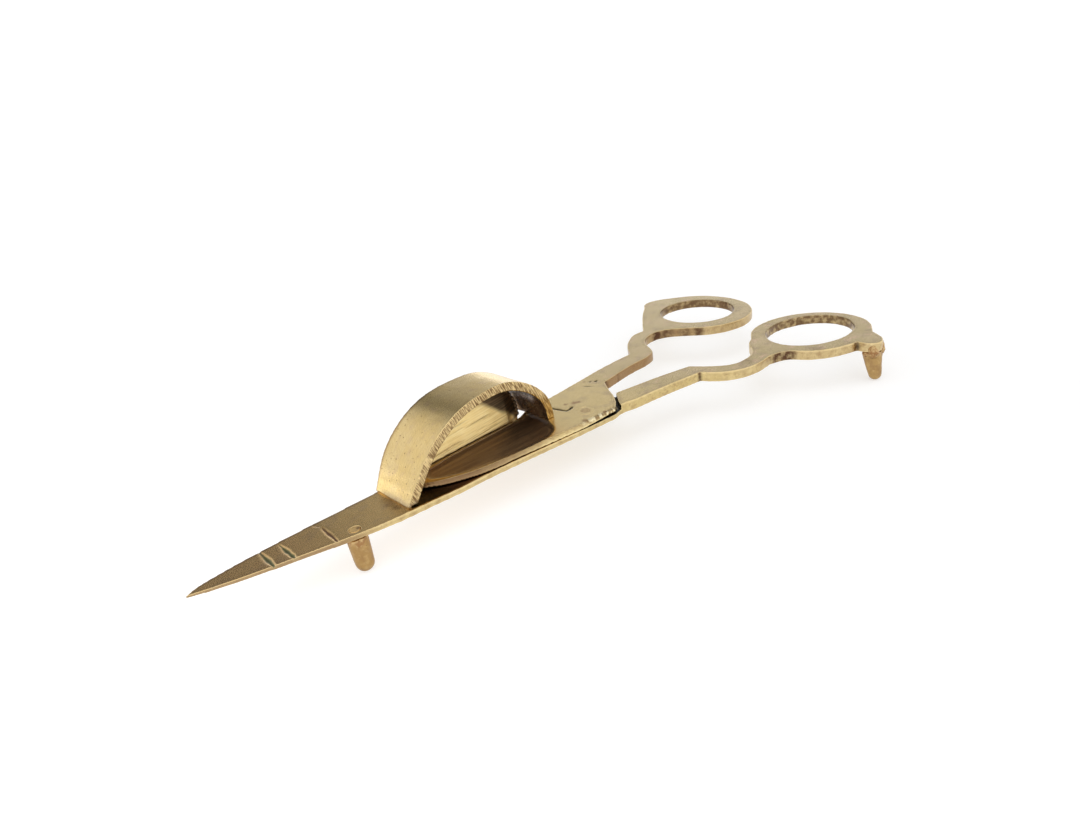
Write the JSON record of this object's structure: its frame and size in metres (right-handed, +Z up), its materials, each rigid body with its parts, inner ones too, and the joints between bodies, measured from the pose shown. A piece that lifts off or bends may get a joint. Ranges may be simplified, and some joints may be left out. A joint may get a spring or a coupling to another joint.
{
  "type": "wick trimmer",
  "caption": "Scissor-action brass wick trimmer with a box over the blades for the cut wick, a long flat tip, finger rings and short round feet.",
  "frame": {"origin": "centre of the overall box in plan, on the surface the feet stand on", "axes": "+X along the blade towards the long tip, +Y towards the side where the box is open, +Z up, away from the feet"},
  "size_m": [0.1678, 0.075, 0.0238],
  "materials": {
    "brass_flat": "flat faces ground and dulled, sides golden",
    "brass_box": "satin, brushed across the strip",
    "brass_cast": "hand-filed, with brown tarnish"
  },
  "bodies": {
    "lower_half": {"lower_blade": "brass_flat", "box_arch": "brass_box", "box_back_plate": "brass_box", "pivot_rivet": "brass_flat", "front_foot": "brass_cast", "rear_foot_near": "brass_cast"},
    "upper_half": {"upper_blade": "brass_flat", "rear_foot_far": "brass_cast"}
  },
  "joints": [
    {"name": "blade_pivot", "type": "hinge", "parent": "lower_half", "child": "upper_half", "pos_m": [-0.0024, 0.0034, 0.0088], "axis": [0, 0, 1], "range_deg": [0, 40]}
  ]
}
